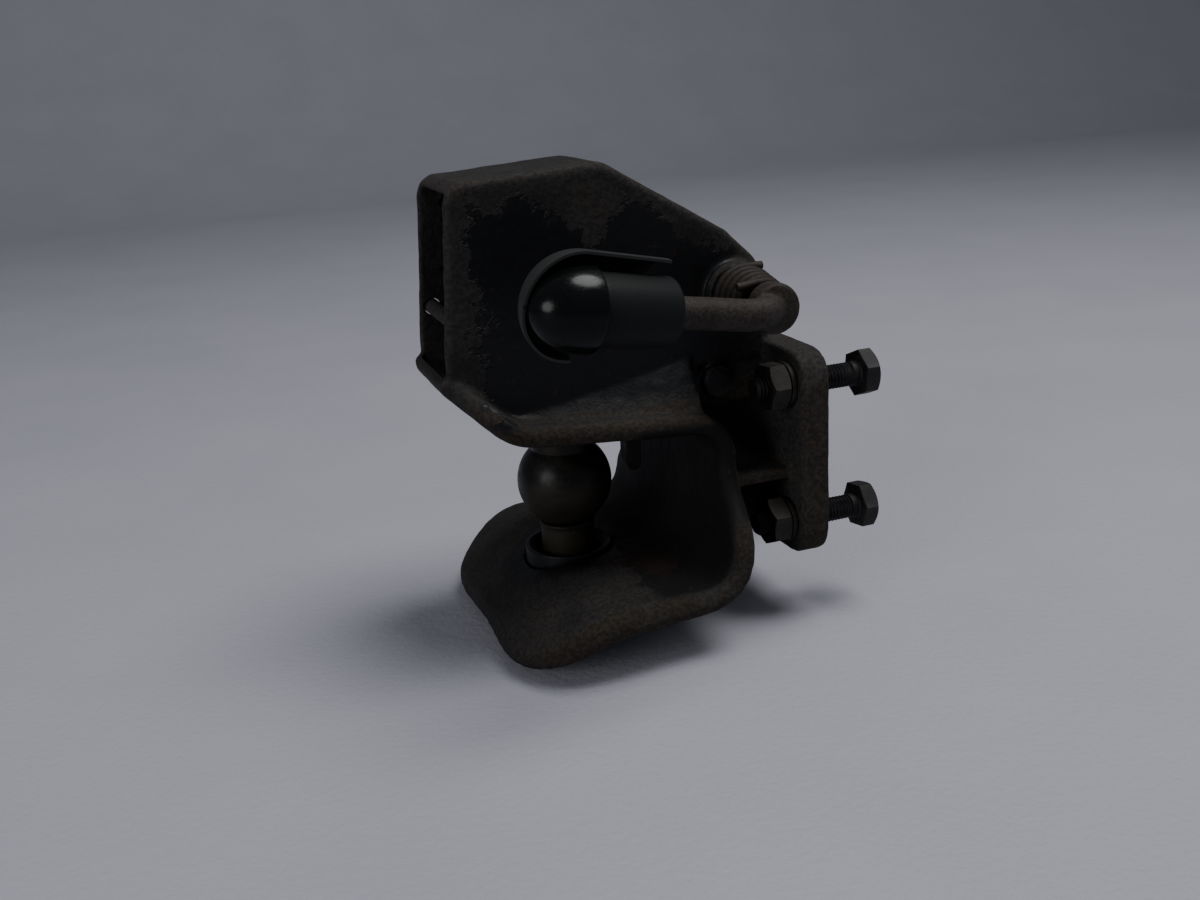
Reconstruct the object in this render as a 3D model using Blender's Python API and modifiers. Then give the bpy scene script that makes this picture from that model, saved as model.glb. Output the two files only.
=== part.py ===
"""Automatic trailer coupling with a ball-shaped coupling pin.

Frame: +X points to the vehicle, the mouth opens to -X, +Z is up along the pin.
The origin is the centre of the mounting plate's face on the vehicle side.
"""
import math

import bmesh
import bpy
from mathutils import Matrix, Vector

MM = 0.001
GAP = 0.3 * MM                   # clearance between pieces that touch

# mounting plate and its bolts
PLATE_THICK = 12 * MM
PLATE_HALF_WIDTH = 54 * MM
PLATE_HALF_HEIGHT = 42 * MM
PLATE_CORNER = 11 * MM
BOLT_Y = 41.5 * MM               # hole pattern 83 x 56
BOLT_Z = 28 * MM
BOLT_RADIUS = 5 * MM
BOLT_HOLE = 5.4 * MM
HEX_FLATS = 17 * MM
HEAD_THICK = 6.4 * MM
HEAD_STAND_OFF = 18.5 * MM       # free shank for the vehicle's cross member
NUT_THICK = 8 * MM
WASHER_THICK = 2 * MM
WASHER_RADIUS = 9 * MM
BOLT_BEYOND_NUT = 5 * MM

# ball pin
PIN_X = -92.3 * MM
BALL_Z = -10 * MM
BALL_RADIUS = 19.25 * MM
BALL_CUT = 17 * MM               # the ball is cut flat this far below its centre
TIP_RADIUS = 11 * MM
TIP_TAPER_Z = -40 * MM           # the end is short and tapered, so that it swings clear of the bush
TIP_END_RADIUS = 6.5 * MM
TIP_END_Z = -43.6 * MM
CROSS_PIN_Z = 26 * MM
CROSS_PIN_RADIUS = 2.5 * MM
NECK_RADIUS = 13 * MM
SHANK_RADIUS = 9 * MM

# swing arm and its shaft
SHAFT_X = -25 * MM
SHAFT_Z = 62 * MM
SHAFT_RADIUS = 6 * MM
HUB_RADIUS = 10.8 * MM
ARM_HALF_WIDTH = 15 * MM
ARM_HEIGHT = 16 * MM
EYE_RADIUS = 15.5 * MM
EYE_TOP_Z = 36 * MM
EYE_BOTTOM_Z = 14 * MM
ARM_SLOT_HALF = 5.6 * MM
LATCH_REACH = 42 * MM            # from the shaft to the latch pin
LATCH_PIN_RADIUS = 3 * MM

# release pawl
PAWL_X = -56 * MM
PAWL_Z = 27 * MM
PAWL_HALF = 4.5 * MM
PAWL_PIN_RADIUS = 2.5 * MM

# hood
HOOD_HALF = 23.8 * MM
HOOD_REAR_HALF = 21.5 * MM
HOOD_WALL = 4 * MM
CHEEK_CREASE_X = -72 * MM        # behind here the cheeks close in towards the rear
#   side outlines (x, z) in mm, clockwise: the hood's front and foot, its top and rear, and the
#   front and foot of the space inside it, which runs out of the front
HOOD_FRONT = ((-137, 107), (-135.5, 111.5), (-131, 114))
HOOD_BACK = ((-77, 117), (-27, 87), (-15.5, 76), (-8, 65), (-8, 34.5), (-40, 34.5))
HOOD_FOOT = ((-40, 18), (-118, 18), (-142, 46))
CAVITY_FRONT = ((-179, 111.2),)
CAVITY_FOOT = ((-40, 6), (-179, 6))

# mouth: centre line of its wall from the upper lip to the lower lip
#   x, z, fillet radius, half width and wall, all in mm
MOUTH_CORNERS = ((-143.3, 43.5, 0, 24.5, 8.5), (-119, 20.3, 22, 38, 8.5), (-36, 16.5, 15, 44, 8.5),
                 (-44, -44, 17, 66, 10), (-100, -44, 34, 69, 12), (-131, -63, 0, 68, 11))
LIP_PLAN_RADIUS = 38 * MM        # plan radius of the lower lip's two corners
JAW_DROP = 3.5 * MM              # how far the jaw's sides hang below its middle
MOUTH_STEP = 5 * MM
PIN_SLOT = ((-141.6, -20.2), (-69.2, 20.2))
PAWL_SLOT = ((-72, -6), (-49, 6))

# lower bush
BUSH_OUTER = 18 * MM
BUSH_INNER = 13.4 * MM
BUSH_COUNTERSINK = 3.1 * MM
BUSH_TOP_Z = -37.3 * MM
BUSH_FOOT_Z = -51.5 * MM

# hand lever
LEVER_BEND = 14 * MM
LEVER_BEND_Y = -49 * MM          # the straight shaft ends and the bend begins
LEVER_RISE = math.radians(10.3)
LEVER_SPLAY = math.radians(8)
LEVER_END_X = -112.4 * MM
SHAFT_END_Y = 38 * MM
COLLAR_RADIUS = 9.6 * MM         # forged shoulder where the shaft turns into the lever
COLLAR_Y = (-59 * MM, -50.8 * MM)
CAP_RADIUS = 15.4 * MM
CAP_LENGTH = 21 * MM
CAP_SEAM_X = -104 * MM
SLEEVE_FRONT_RADIUS = 13.4 * MM
SLEEVE_REAR_RADIUS = 12.4 * MM
SLEEVE_REAR_X = -72 * MM

# half shell round the far side of the grip
SHELL_RADIUS = 19.8 * MM
SHELL_REAR_RADIUS = 18.4 * MM
SHELL_WALL = 1 * MM
SHELL_CENTRE_X = -106.4 * MM
SHELL_REAR_X = -75 * MM
SHELL_TILT = math.radians(11)    # its cut edges lean back by this much
SHELL_FOOT = 5 * MM              # its lower half ends this far behind the dome's centre

# torsion spring, wound narrower towards the lever
SPRING_WIRE = 1.6 * MM
SPRING_FIRST_MEAN = 11.6 * MM
SPRING_LAST_MEAN = 8.6 * MM
SPRING_TURNS = 5
SPRING_FIRST_Y = -31 * MM
SPRING_PITCH = 3.4 * MM

FRONT_PIN_X = -135 * MM
FRONT_PIN_Z = 63 * MM
FRONT_PIN_RADIUS = 3 * MM
BLIND_END_Y = -21.3 * MM         # the pawl's pin and the front pin stop inside the near cheek


def clear_scene():
    for thing in list(bpy.data.objects):
        bpy.data.objects.remove(thing, do_unlink=True)


def collection(name):
    made = bpy.data.collections.new(name)
    bpy.context.scene.collection.children.link(made)
    return made


def material(name, colour, roughness, metallic):
    made = bpy.data.materials.new(name)
    made.use_nodes = True
    shader = made.node_tree.nodes["Principled BSDF"]
    shader.inputs["Base Color"].default_value = (*colour, 1.0)
    shader.inputs["Roughness"].default_value = roughness
    shader.inputs["Metallic"].default_value = metallic
    return made


def mesh_object(name, shape, smooth=True):
    """Turns a bmesh into an object, linked by the caller."""
    mesh = bpy.data.meshes.new(name)
    bmesh.ops.recalc_face_normals(shape, faces=shape.faces)
    shape.to_mesh(mesh)
    shape.free()
    if smooth:
        mesh.shade_smooth()
        mesh.set_sharp_from_angle(angle=math.radians(35))
    return bpy.data.objects.new(name, mesh)


def box(name, low, high):
    shape = bmesh.new()
    bmesh.ops.create_cube(shape, size=1.0)
    low, high = Vector(low), Vector(high)
    size = high - low
    for vertex in shape.verts:
        vertex.co = (low + high) / 2 + Vector([vertex.co[i] * size[i] for i in range(3)])
    return mesh_object(name, shape, smooth=False)


def cylinder(name, start, end, radius, end_radius=None, segments=32):
    start, end = Vector(start), Vector(end)
    shape = bmesh.new()
    bmesh.ops.create_cone(shape, cap_ends=True, segments=segments, radius1=radius,
                          radius2=radius if end_radius is None else end_radius,
                          depth=(end - start).length)
    turn = (end - start).to_track_quat("Z", "Y").to_matrix().to_4x4()
    bmesh.ops.transform(shape, matrix=Matrix.Translation((start + end) / 2) @ turn, verts=shape.verts)
    return mesh_object(name, shape)


def prism(name, outline, low, high, axis="Y"):
    """A flat outline of (x, z) points along Y, or of (x, y) points along Z."""
    curve = bpy.data.curves.new(name, "CURVE")
    curve.dimensions = "2D"
    curve.fill_mode = "BOTH"
    curve.extrude = (high - low) / 2
    line = curve.splines.new("POLY")
    line.points.add(len(outline) - 1)
    for point, (u, v) in zip(line.points, outline):
        point.co = (u, v, 0, 1)
    line.use_cyclic_u = True
    turned = Matrix.Rotation(math.radians(90), 4, "X") if axis == "Y" else Matrix.Identity(4)
    middle = (low + high) / 2
    moved = Matrix.Translation((0, middle, 0) if axis == "Y" else (0, 0, middle))
    return curve_to_mesh(name, curve, moved @ turned)


def curve_to_mesh(name, curve, matrix=None):
    """Makes a closed mesh object from a curve, its caps welded on."""
    guide = bpy.data.objects.new(name + "_curve", curve)
    bpy.context.scene.collection.objects.link(guide)
    bpy.context.view_layer.update()
    evaluated = guide.evaluated_get(bpy.context.evaluated_depsgraph_get())
    mesh = bpy.data.meshes.new_from_object(evaluated)
    shape = bmesh.new()
    shape.from_mesh(mesh)
    bmesh.ops.remove_doubles(shape, verts=shape.verts, dist=0.00001)
    if matrix is not None:
        bmesh.ops.transform(shape, matrix=matrix, verts=shape.verts)
    bpy.data.objects.remove(guide, do_unlink=True)
    return mesh_object(name, shape)


def round_bar(name, points, radius, resolution=2):
    curve = bpy.data.curves.new(name, "CURVE")
    curve.dimensions = "3D"
    curve.bevel_depth = radius
    curve.bevel_resolution = resolution
    curve.use_fill_caps = True
    line = curve.splines.new("POLY")
    line.points.add(len(points) - 1)
    for point, place in zip(line.points, points):
        point.co = (*place, 1)
    return curve_to_mesh(name, curve)


def turned(name, profile, place, steps=40):
    """A profile of (radius, height) points, turned about Z at a place."""
    mesh = bpy.data.meshes.new(name)
    mesh.from_pydata([(r, 0, z) for r, z in profile], [(i, i + 1) for i in range(len(profile) - 1)], [])
    made = bpy.data.objects.new(name, mesh)
    made.location = place
    screw = made.modifiers.new("turn", "SCREW")
    screw.steps = steps
    screw.render_steps = steps
    screw.use_merge_vertices = True
    screw.merge_threshold = 0.00001
    screw.use_smooth_shade = True
    return made


def arc_points(centre, radius, first, last, count):
    """Points on an arc, with angles in degrees."""
    points = []
    for i in range(count + 1):
        angle = math.radians(first + (last - first) * i / count)
        points.append((centre[0] + radius * math.cos(angle), centre[1] + radius * math.sin(angle)))
    return points


def bevel(made, width, segments=2, angle=40):
    modifier = made.modifiers.new("rounding", "BEVEL")
    modifier.width = width
    modifier.segments = segments
    modifier.limit_method = "ANGLE"
    modifier.angle_limit = math.radians(angle)
    return made


def combine(made, tool, operation, tools):
    """Adds a Boolean to an object, with its tool kept out of the render."""
    if tool.name not in tools.objects:
        tools.objects.link(tool)
        tool.hide_render = True
        tool.display_type = "WIRE"
    modifier = made.modifiers.new(operation.lower(), "BOOLEAN")
    modifier.operation = operation
    modifier.object = tool
    modifier.solver = "EXACT"


def keep(made, parts, finish):
    parts.objects.link(made)
    made.data.materials.clear()
    made.data.materials.append(finish)
    return made


# ---------------------------------------------------------------- mouth

def rounded_route(corners):
    """Points along a line with filleted corners, each with its half width and half wall."""
    route = []
    for i, (x, z, radius, half, wall) in enumerate(corners):
        corner = Vector((x, z)) * MM
        sizes = (half * MM, wall * MM / 2)
        if radius == 0:
            route.append((corner, *sizes))
            continue
        before = (Vector(corners[i - 1][:2]) * MM - corner).normalized()
        after = (Vector(corners[i + 1][:2]) * MM - corner).normalized()
        turn = before.angle(after)
        reach = radius * MM / math.tan(turn / 2)
        centre = corner + (before + after).normalized() * (radius * MM / math.sin(turn / 2))
        start = corner + before * reach - centre
        sweep = math.pi - turn
        side = 1 if start.cross(corner + after * reach - centre) > 0 else -1
        count = max(3, round(sweep / math.radians(15)))
        for k in range(count + 1):
            route.append((centre + Matrix.Rotation(side * sweep * k / count, 2) @ start, *sizes))
    return route


def along_route(route, lengths, place):
    """Centre, half width and half wall at a distance along the route."""
    place = min(max(place, 0.0), lengths[-1])
    k = max(j for j in range(len(route) - 1) if lengths[j] <= place)
    share = (place - lengths[k]) / (lengths[k + 1] - lengths[k])
    ease = share * share * (3 - 2 * share)
    (a, half_a, wall_a), (b, half_b, wall_b) = route[k], route[k + 1]
    return a.lerp(b, share), half_a + (half_b - half_a) * ease, wall_a + (wall_b - wall_a) * ease


def mouth_wall():
    """The C-shaped wall with a round rim, lofted along its centre line."""
    route = rounded_route(MOUTH_CORNERS)
    lengths = [0.0]
    for (a, *_), (b, *_) in zip(route, route[1:]):
        lengths.append(lengths[-1] + (b - a).length)
    total = lengths[-1]
    count = round(total / MOUTH_STEP)
    nose = route[0][2]
    ends = [0.0, nose * 0.25, nose * 0.7]
    places = ends + [total * i / count for i in range(1, count)] + [total - d for d in reversed(ends)]
    shape = bmesh.new()
    rings = []
    for place in places:
        centre, half, thick = along_route(route, lengths, place)
        ahead, behind = (along_route(route, lengths, place + d * MM)[0] for d in (2, -2))
        tangent = (ahead - behind).normalized()
        left = total - place
        if left < LIP_PLAN_RADIUS:
            half += math.sqrt(LIP_PLAN_RADIUS ** 2 - (LIP_PLAN_RADIUS - left) ** 2) - LIP_PLAN_RADIUS
        from_end = min(place, left)
        if from_end < thick:
            thick = max(math.sqrt(thick ** 2 - (thick - from_end) ** 2), thick * 0.35)
        drop = JAW_DROP * min(max((-20 * MM - centre.y) / (15 * MM), 0.0), 1.0)
        ring = []
        for across, along in rim_section(half, thick):
            ring.append(shape.verts.new((centre.x - tangent.y * along, across,
                                         centre.y + tangent.x * along - drop * (across / half) ** 2)))
        rings.append(ring)
    for a, b in zip(rings, rings[1:]):
        for i in range(len(a)):
            j = (i + 1) % len(a)
            shape.faces.new((a[i], a[j], b[j], b[i]))
    shape.faces.new(rings[0])
    shape.faces.new(reversed(rings[-1]))
    return mesh_object("mouth_wall", shape)


def rim_section(half, thick):
    """(across, along the normal) points of the wall's section, round at both rims."""
    points = []
    for side in (1, -1):
        for angle in (90, 45, 0, -45, -90):
            turn = math.radians(angle)
            points.append((side * (half - thick + thick * math.cos(turn)), side * thick * math.sin(turn)))
        for share in (0.6, 0.2, -0.2, -0.6):
            points.append((side * half * share, -side * thick))
    return points


# ---------------------------------------------------------------- casting

def drawn_in(outline, distance):
    """A clockwise outline in mm as points in metres, drawn in by a distance."""
    points = [Vector(point) * MM for point in outline]
    made = []
    for i, point in enumerate(points):
        before = (point - points[i - 1]).normalized()
        after = (points[(i + 1) % len(points)] - point).normalized()
        inward = Vector((before.y, -before.x)), Vector((after.y, -after.x))
        made.append(point + (inward[0] + inward[1]) * (distance / (1 + inward[0].dot(inward[1]))))
    return made


def hood_solid(name, outline, inset, tools):
    made = prism(name, drawn_in(outline, inset), -40 * MM, 40 * MM)
    near = [(-190 * MM, inset - HOOD_HALF), (CHEEK_CREASE_X, inset - HOOD_HALF),
            (0.0, inset - HOOD_REAR_HALF)]
    plan = near + [(x, -y) for x, y in reversed(near)]
    combine(made, prism(name + "_plan", plan, 0.0, 130 * MM, axis="Z"), "INTERSECT", tools)
    return made


def mounting_plate():
    corners = []
    for sy, sz, first in ((1, 1, 0), (-1, 1, 90), (-1, -1, 180), (1, -1, 270)):
        centre = (sy * (PLATE_HALF_WIDTH - PLATE_CORNER), sz * (PLATE_HALF_HEIGHT - PLATE_CORNER))
        corners += arc_points(centre, PLATE_CORNER, first, first + 90, 4)
    made = prism("plate", corners, 0.0, PLATE_THICK, axis="Z")
    # the outline's own x, y and depth become Y, Z and -X
    turn = Matrix(((0, 0, -1, 0), (1, 0, 0, 0), (0, 1, 0, 0), (0, 0, 0, 1)))
    made.data.transform(turn)
    made.data.flip_normals()
    return bevel(made, 1.5 * MM)


def fillet_web(name, side):
    """The slanted web between the hood's cheek and the mouth's rim, rising to the rear."""
    inner, cheek = 22 * MM, HOOD_HALF + 0.7 * MM
    shape = bmesh.new()
    for x, top, foot in ((-116 * MM, 25.5 * MM, 27 * MM), (-45 * MM, 41 * MM, 36 * MM)):
        cheek_here = cheek if x < CHEEK_CREASE_X else cheek - 1.6 * MM
        for y, z in ((inner, 15 * MM), (inner, top), (cheek_here, top), (foot, 19.5 * MM), (foot, 15 * MM)):
            shape.verts.new((x, side * y, z))
    bmesh.ops.convex_hull(shape, input=shape.verts)
    return mesh_object(name, shape)


def main_casting(parts, tools, iron):
    made = hood_solid("main_casting", HOOD_FRONT + HOOD_BACK + HOOD_FOOT, 0.0, tools)
    bevel(made, 2 * MM, angle=30)
    cavity = hood_solid("hood_cavity", CAVITY_FRONT + HOOD_BACK + CAVITY_FOOT, HOOD_WALL, tools)
    combine(made, cavity, "DIFFERENCE", tools)
    wall = mouth_wall()
    for name, (low, high), top in (("pin_slot", PIN_SLOT, 62 * MM), ("pawl_slot", PAWL_SLOT, 30 * MM)):
        slot = box(name, (low[0] * MM, low[1] * MM, 6 * MM), (high[0] * MM, high[1] * MM, top))
        combine(wall, slot, "DIFFERENCE", tools)
    combine(made, wall, "UNION", tools)
    for name, side in (("web_near", -1), ("web_far", 1)):
        combine(made, fillet_web(name, side), "UNION", tools)
    combine(made, mounting_plate(), "UNION", tools)
    neck = [(x * MM, z * MM) for x, z in ((-36, 37), (-6, 37), (-6, -40.5), (-42.7, -40.5), (-37.3, 6))]
    combine(made, prism("neck", neck, -15 * MM, 15 * MM), "UNION", tools)
    for name, low, high in (
            ("rib_across", (-39 * MM, -44 * MM, -10.5 * MM), (-5.5 * MM, 44 * MM, -5.5 * MM)),
            ("neck_top", (-41 * MM, -20.9 * MM, 17.5 * MM), (-7 * MM, 20.9 * MM, 37.5 * MM))):
        combine(made, box(name, low, high), "UNION", tools)
    for name, x, z, start, end, radius in (
            ("shaft_boss", SHAFT_X, SHAFT_Z, 19 * MM, 28 * MM, 13 * MM),
            ("neck_boss", -33.5 * MM, 28 * MM, 18 * MM, 26 * MM, 6.5 * MM)):
        for label, side in (("near", -1), ("far", 1)):
            boss = cylinder(f"{name}_{label}", (x, side * start, z), (x, side * end, z), radius)
            combine(made, boss, "UNION", tools)
    holes = [("shaft_bore", (SHAFT_X, -45 * MM, SHAFT_Z), (SHAFT_X, 45 * MM, SHAFT_Z), 8.3 * MM),
             ("pawl_bore", (PAWL_X, BLIND_END_Y - GAP, PAWL_Z), (PAWL_X, 50 * MM, PAWL_Z),
              PAWL_PIN_RADIUS + GAP),
             ("front_bore", (FRONT_PIN_X, BLIND_END_Y - GAP, FRONT_PIN_Z),
              (FRONT_PIN_X, 50 * MM, FRONT_PIN_Z), FRONT_PIN_RADIUS + GAP),
             ("bush_bore", (PIN_X, 0, -70 * MM), (PIN_X, 0, -30 * MM), BUSH_OUTER + GAP)]
    for i, (sy, sz) in enumerate(((-1, 1), (1, 1), (-1, -1), (1, -1)), 1):
        holes.append((f"bolt_hole_{i}", (-20 * MM, sy * BOLT_Y, sz * BOLT_Z),
                      (10 * MM, sy * BOLT_Y, sz * BOLT_Z), BOLT_HOLE))
    for name, start, end, radius in holes:
        combine(made, cylinder(name, start, end, radius), "DIFFERENCE", tools)
    return keep(made, parts, iron)


# ---------------------------------------------------------------- turned and bored pieces

def tube(name, start, end, outer, inner, tools, segments=32):
    start, end = Vector(start), Vector(end)
    reach = (end - start).normalized() * 5 * MM
    made = cylinder(name, start, end, outer, segments=segments)
    combine(made, cylinder(name + "_bore", start - reach, end + reach, inner, segments=segments),
            "DIFFERENCE", tools)
    return made


def pin_bush():
    """Wide countersunk mouth, so that the pin's end can swing out of it."""
    sink = BUSH_COUNTERSINK
    profile = [(BUSH_OUTER, BUSH_TOP_Z), (BUSH_OUTER, BUSH_FOOT_Z), (BUSH_INNER, BUSH_FOOT_Z),
               (BUSH_INNER, BUSH_TOP_Z - sink), (BUSH_INNER + sink, BUSH_TOP_Z), (BUSH_OUTER, BUSH_TOP_Z)]
    return turned("pin_bush", profile, (PIN_X, 0, 0))


def ball_pin(tools):
    """Shank, neck, ball and tip in one turned piece, with its cross hole."""
    profile = [(0.0, EYE_TOP_Z + 2 * MM), (SHANK_RADIUS - 1 * MM, EYE_TOP_Z + 2 * MM),
               (SHANK_RADIUS, EYE_TOP_Z + 1 * MM), (SHANK_RADIUS, EYE_BOTTOM_Z - GAP),
               (NECK_RADIUS, EYE_BOTTOM_Z - GAP)]
    first = math.degrees(math.acos(NECK_RADIUS / BALL_RADIUS))
    last = -math.degrees(math.asin(BALL_CUT / BALL_RADIUS))
    profile += [(x, z) for x, z in arc_points((0.0, BALL_Z), BALL_RADIUS, first, last, 16)]
    profile += [(TIP_RADIUS + 1 * MM, BALL_Z - BALL_CUT), (TIP_RADIUS, BALL_Z - BALL_CUT - 1 * MM),
                (TIP_RADIUS, TIP_TAPER_Z), (TIP_END_RADIUS, TIP_END_Z), (0.0, TIP_END_Z)]
    made = turned("ball_pin", profile, (PIN_X, 0, 0))
    combine(made, cylinder("ball_pin_hole", (PIN_X, -30 * MM, CROSS_PIN_Z), (PIN_X, 30 * MM, CROSS_PIN_Z),
                           CROSS_PIN_RADIUS + GAP, segments=20), "DIFFERENCE", tools)
    return made


def arm_angle():
    return math.atan2(SHAFT_Z - (EYE_TOP_Z + EYE_BOTTOM_Z) / 2, SHAFT_X - PIN_X)


def along_arm(reach, offset=0.0):
    """A point (x, z) on the arm's centre line, or beside it."""
    turn = arm_angle()
    return (SHAFT_X - reach * math.cos(turn) - offset * math.sin(turn),
            SHAFT_Z - reach * math.sin(turn) + offset * math.cos(turn))


def swing_arm(tools):
    half = ARM_HEIGHT / 2
    end = math.hypot(SHAFT_X - PIN_X, SHAFT_Z - (EYE_TOP_Z + EYE_BOTTOM_Z) / 2) - 4 * MM
    bar = [along_arm(0, -half), along_arm(end, -half), along_arm(end, half), along_arm(0, half)]
    made = prism("swing_arm", bar, -ARM_HALF_WIDTH + 0.4 * MM, ARM_HALF_WIDTH - 0.4 * MM)
    hub = cylinder("arm_hub", (SHAFT_X, -ARM_HALF_WIDTH, SHAFT_Z), (SHAFT_X, ARM_HALF_WIDTH, SHAFT_Z),
                   HUB_RADIUS, segments=36)
    eye = cylinder("arm_eye", (PIN_X, 0, EYE_BOTTOM_Z), (PIN_X, 0, EYE_TOP_Z), EYE_RADIUS, segments=36)
    for more in (hub, eye):
        combine(made, more, "UNION", tools)
    slot = [along_arm(28 * MM, -20 * MM), along_arm(57 * MM, -20 * MM), along_arm(57 * MM, 20 * MM),
            along_arm(28 * MM, 20 * MM)]
    combine(made, prism("arm_slot", slot, -ARM_SLOT_HALF, ARM_SLOT_HALF), "DIFFERENCE", tools)
    latch = along_arm(LATCH_REACH)
    for name, start, end, radius in (
            ("hub_bore", (SHAFT_X, -40 * MM, SHAFT_Z), (SHAFT_X, 40 * MM, SHAFT_Z), SHAFT_RADIUS + GAP),
            ("eye_bore", (PIN_X, 0, 0), (PIN_X, 0, 50 * MM), SHANK_RADIUS + GAP),
            ("latch_bore", (latch[0], -40 * MM, latch[1]), (latch[0], 40 * MM, latch[1]),
             LATCH_PIN_RADIUS + GAP),
            ("key_bore", (SHAFT_X, 0, SHAFT_Z - 30 * MM), (SHAFT_X, 0, SHAFT_Z + 30 * MM), 2.5 * MM + GAP),
            ("cross_bore", (PIN_X, -40 * MM, CROSS_PIN_Z), (PIN_X, 40 * MM, CROSS_PIN_Z),
             CROSS_PIN_RADIUS + GAP)):
        combine(made, cylinder(name, start, end, radius, segments=24), "DIFFERENCE", tools)
    return made


def release_pawl(tools):
    """Flat trigger: a finger down into the mouth and a strut up to its hook."""
    outline = [(-66, -8), (-64.5, -10), (-61.5, -10), (-60, -8), (-59, 16), (-53, 20), (-50.2, 25),
               (-51, 29.5), (-55, 32.5), (-62, 34), (-66.5, 38), (-68.8, 44), (-72, 54), (-71.6, 59), (-70.2, 62.5),
               (-75, 62.5), (-76.3, 56), (-73.5, 44), (-70.5, 36), (-66.2, 29.5), (-63, 26), (-65.5, 18)]
    made = prism("release_pawl", [(x * MM, z * MM) for x, z in outline], -PAWL_HALF, PAWL_HALF)
    bore = cylinder("pawl_pivot", (PAWL_X, -20 * MM, PAWL_Z), (PAWL_X, 20 * MM, PAWL_Z),
                    PAWL_PIN_RADIUS + GAP, segments=24)
    combine(made, bore, "DIFFERENCE", tools)
    return made


# ---------------------------------------------------------------- lever, grip and spring

def bend_point(share):
    """The bend's centre line, from the shaft at share 0 to the straight lever at share 1."""
    turn = (math.pi / 2 - LEVER_SPLAY) * share
    return Vector((SHAFT_X - LEVER_BEND * (1 - math.cos(turn)),
                   LEVER_BEND_Y - LEVER_BEND * math.sin(turn), SHAFT_Z))


def lever_direction():
    level = math.cos(LEVER_RISE)
    return Vector((-level * math.cos(LEVER_SPLAY), -level * math.sin(LEVER_SPLAY), math.sin(LEVER_RISE)))


def lever_point(x):
    """The straight lever's centre line at a given x."""
    start, direction = bend_point(1), lever_direction()
    return start + direction * ((x - start.x) / direction.x)


def hand_lever(tools):
    points = [(SHAFT_X, SHAFT_END_Y, SHAFT_Z)] + [bend_point(i / 8) for i in range(9)]
    points += [bend_point(1) + lever_direction() * 6 * MM, lever_point(LEVER_END_X)]
    made = round_bar("hand_lever", points, SHAFT_RADIUS, resolution=4)
    near, far = COLLAR_Y
    collar = cylinder("lever_collar", (SHAFT_X, near, SHAFT_Z), (SHAFT_X, far, SHAFT_Z), COLLAR_RADIUS)
    combine(made, bevel(collar, 1.2 * MM), "UNION", tools)
    for name, start, end, radius in (
            ("lever_key_hole", (SHAFT_X, 0, SHAFT_Z - 20 * MM), (SHAFT_X, 0, SHAFT_Z + 20 * MM),
             2.5 * MM + GAP),
            ("split_pin_hole", (SHAFT_X, 33.5 * MM, SHAFT_Z - 20 * MM),
             (SHAFT_X, 33.5 * MM, SHAFT_Z + 20 * MM), 1.25 * MM + GAP)):
        combine(made, cylinder(name, start, end, radius, segments=16), "DIFFERENCE", tools)
    return made


def grip_frame(x):
    """Places local +Z along the lever, away from the shaft, at a given x."""
    turn = lever_direction().to_track_quat("Z", "Y").to_matrix().to_4x4()
    return Matrix.Translation(lever_point(x)) @ turn


def grip_cap():
    """Egg-shaped end with a blind socket for the bar."""
    socket = SHAFT_RADIUS + GAP
    depth = (lever_point(LEVER_END_X) - lever_point(CAP_SEAM_X)).length + 1 * MM
    profile = [(0.0, CAP_LENGTH)]
    for radius, height in arc_points((0.0, 0.0), 1.0, 82, 0, 12):
        profile.append((radius * CAP_RADIUS, height * CAP_LENGTH))
    profile += [(CAP_RADIUS - 0.6 * MM, -1.2 * MM), (socket, -1.2 * MM), (socket, depth), (0.0, depth)]
    made = turned("grip_cap", profile, (0, 0, 0), steps=44)
    made.matrix_world = grip_frame(CAP_SEAM_X)
    return made


def grip_sleeve():
    length = (lever_point(SLEEVE_REAR_X) - lever_point(CAP_SEAM_X)).length
    bore = SHAFT_RADIUS + GAP
    front = -1.2 * MM - GAP
    profile = [(SLEEVE_FRONT_RADIUS, front), (SLEEVE_REAR_RADIUS, -length + 2.5 * MM),
               (SLEEVE_REAR_RADIUS - 2 * MM, -length), (bore, -length), (bore, front),
               (SLEEVE_FRONT_RADIUS, front)]
    made = turned("grip_sleeve", profile, (0, 0, 0))
    made.matrix_world = grip_frame(CAP_SEAM_X)
    return made


def shell_profile(inset):
    """From the rear opening to the pole, along the shell's outer face or a wall's thickness inside it."""
    length = (lever_point(SHELL_REAR_X) - lever_point(SHELL_CENTRE_X)).length
    dome = arc_points((0.0, 0.0), SHELL_RADIUS - inset, 0, 90, 14)
    return [(SHELL_REAR_RADIUS - inset, -length)] + dome[:-1] + [(0.0, SHELL_RADIUS - inset)]


def grip_shell(tools):
    """Thin capsule skin, open towards the near side, with its lower half only round the dome."""
    profile = shell_profile(0.0) + list(reversed(shell_profile(SHELL_WALL))) + [shell_profile(0.0)[0]]
    made = turned("grip_shell", profile, (0, 0, 0), steps=44)
    made.matrix_world = grip_frame(SHELL_CENTRE_X)
    open_side = box("shell_open_side", (0.0, -40 * MM, -60 * MM), (40 * MM, 40 * MM, 40 * MM))
    open_side.matrix_world = grip_frame(SHELL_CENTRE_X) @ Matrix.Rotation(-SHELL_TILT, 4, "Z")
    open_foot = box("shell_open_foot", (-40 * MM, -40 * MM, -60 * MM), (40 * MM, -2 * MM, -SHELL_FOOT))
    open_foot.matrix_world = grip_frame(SHELL_CENTRE_X)
    for cutter in (open_side, open_foot):
        combine(made, cutter, "DIFFERENCE", tools)
    return made


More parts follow.
